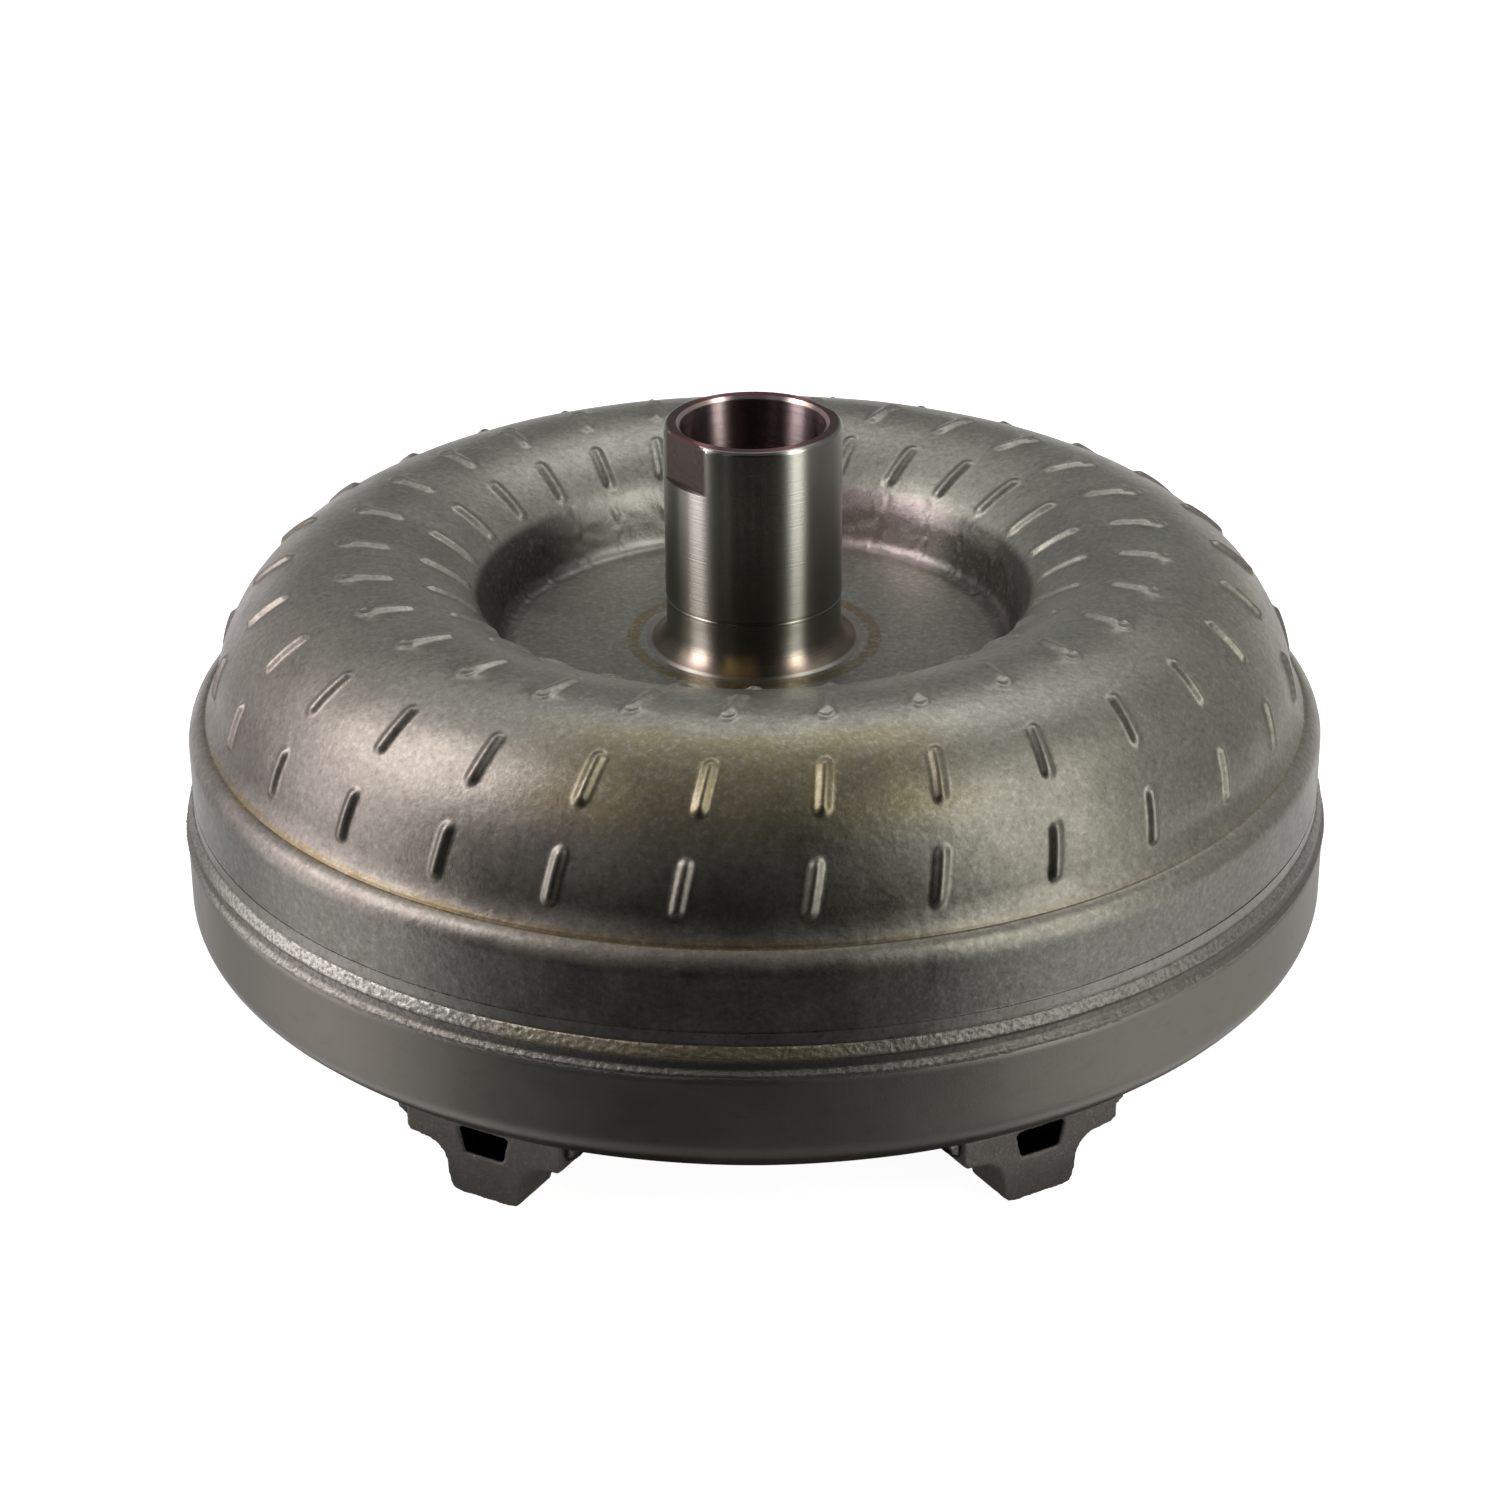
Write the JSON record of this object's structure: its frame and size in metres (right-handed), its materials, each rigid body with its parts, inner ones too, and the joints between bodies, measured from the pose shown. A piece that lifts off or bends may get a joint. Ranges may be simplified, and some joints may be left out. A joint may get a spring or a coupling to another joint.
{
  "type": "torque converter",
  "caption": "Welded automatic-transmission torque converter with a lock-up clutch, a flatted pump drive hub and tapped mounting lugs.",
  "frame": {"origin": "on the axis of rotation, in the plane of the six mounting lug faces, so the part stands on them", "axes": "+Z along the axis of rotation, out through the pump drive hub; -Y is the side that faces the camera"},
  "size_m": [0.3023, 0.3022, 0.158],
  "materials": {
    "shell_steel": "bare drawn steel, satin, with brown and olive heat tints",
    "hub_steel": "ground and polished steel",
    "weld_metal": "rough weld bead",
    "cover_steel": "dark drawn steel, satin",
    "pilot_steel": "turned steel",
    "lug_steel": "dark forged steel, grainy",
    "blade_steel": "pressed sheet steel",
    "turned_steel": "turned steel",
    "damper_steel": "stamped steel",
    "spring_steel": "blued spring steel",
    "friction_paper": "brown friction paper",
    "seal": "dark filled polymer",
    "stator_alloy": "die-cast aluminium",
    "bearing_steel": "hardened and ground steel"
  },
  "bodies": {
    "housing": {"impeller_shell": "shell_steel", "impeller_hub": "hub_steel", "impeller_hub_weld": "weld_metal", "impeller_blades": "blade_steel", "impeller_core_ring": "blade_steel", "closure_weld": "weld_metal", "front_cover": "cover_steel", "pilot_boss": "pilot_steel", "pilot_weld": "weld_metal", "mounting_lug_1": "lug_steel", "mounting_lug_2": "lug_steel", "mounting_lug_3": "lug_steel", "mounting_lug_4": "lug_steel", "mounting_lug_5": "lug_steel", "mounting_lug_6": "lug_steel", "lug_welds": "weld_metal", "hub_bearing_race_upper": "bearing_steel", "cover_bearing_race_lower": "bearing_steel"},
    "turbine": {"turbine_shell": "blade_steel", "turbine_blades": "blade_steel", "turbine_core_ring": "blade_steel", "turbine_hub": "turned_steel", "turbine_rivets": "turned_steel", "piston_seal_ring": "seal", "damper_driven_plate": "damper_steel", "damper_springs": "spring_steel", "turbine_bearing_race_lower": "bearing_steel", "cover_bearing_race_upper": "bearing_steel"},
    "damper": {"damper_drive_plate": "damper_steel", "damper_retainer_plate": "damper_steel", "damper_rivets": "turned_steel"},
    "piston": {"lockup_piston": "damper_steel", "friction_lining": "friction_paper"},
    "stator": {"stator_wheel": "stator_alloy", "clutch_outer_race": "bearing_steel", "clutch_rollers": "bearing_steel", "clutch_springs": "spring_steel", "stator_cap_upper": "stator_alloy", "stator_cap_lower": "stator_alloy", "hub_bearing_race_lower": "bearing_steel", "turbine_bearing_race_upper": "bearing_steel"},
    "inner_race": {"clutch_inner_race": "bearing_steel"},
    "hub_bearing": {"hub_bearing_cage": "bearing_steel", "hub_bearing_needles": "bearing_steel"},
    "turbine_bearing": {"turbine_bearing_cage": "bearing_steel", "turbine_bearing_needles": "bearing_steel"},
    "cover_bearing": {"cover_bearing_cage": "bearing_steel", "cover_bearing_needles": "bearing_steel"}
  },
  "joints": [
    {"name": "turbine_spin", "type": "hinge", "parent": "housing", "child": "turbine", "pos_m": [0, 0, 0], "axis": [0, 0, 1], "continuous": true},
    {"name": "damper_twist", "type": "hinge", "parent": "turbine", "child": "damper", "pos_m": [0, 0, 0], "axis": [0, 0, 1], "range_deg": [-5, 5], "stiffness_Nm_per_rad": 120, "deforming": ["damper_springs"]},
    {"name": "lockup_apply", "type": "slide", "parent": "damper", "child": "piston", "axis": [0, 0, -1], "range_m": [0, 0.0008]},
    {"name": "stator_spin", "type": "hinge", "parent": "housing", "child": "stator", "pos_m": [0, 0, 0], "axis": [0, 0, 1], "continuous": true},
    {"name": "one_way_clutch", "type": "hinge", "parent": "stator", "child": "inner_race", "pos_m": [0, 0, 0], "axis": [0, 0, 1], "continuous": true},
    {"name": "hub_bearing_spin", "type": "hinge", "parent": "housing", "child": "hub_bearing", "pos_m": [0, 0, 0], "axis": [0, 0, 1], "continuous": true},
    {"name": "turbine_bearing_spin", "type": "hinge", "parent": "stator", "child": "turbine_bearing", "pos_m": [0, 0, 0], "axis": [0, 0, 1], "continuous": true},
    {"name": "cover_bearing_spin", "type": "hinge", "parent": "housing", "child": "cover_bearing", "pos_m": [0, 0, 0], "axis": [0, 0, 1], "continuous": true}
  ],
  "couplings": [
    {"joint": "hub_bearing_spin", "follows": "stator_spin", "ratio": 0.5},
    {"joint": "turbine_bearing_spin", "follows": "turbine_spin", "ratio": 0.5},
    {"joint": "cover_bearing_spin", "follows": "turbine_spin", "ratio": 0.5}
  ]
}
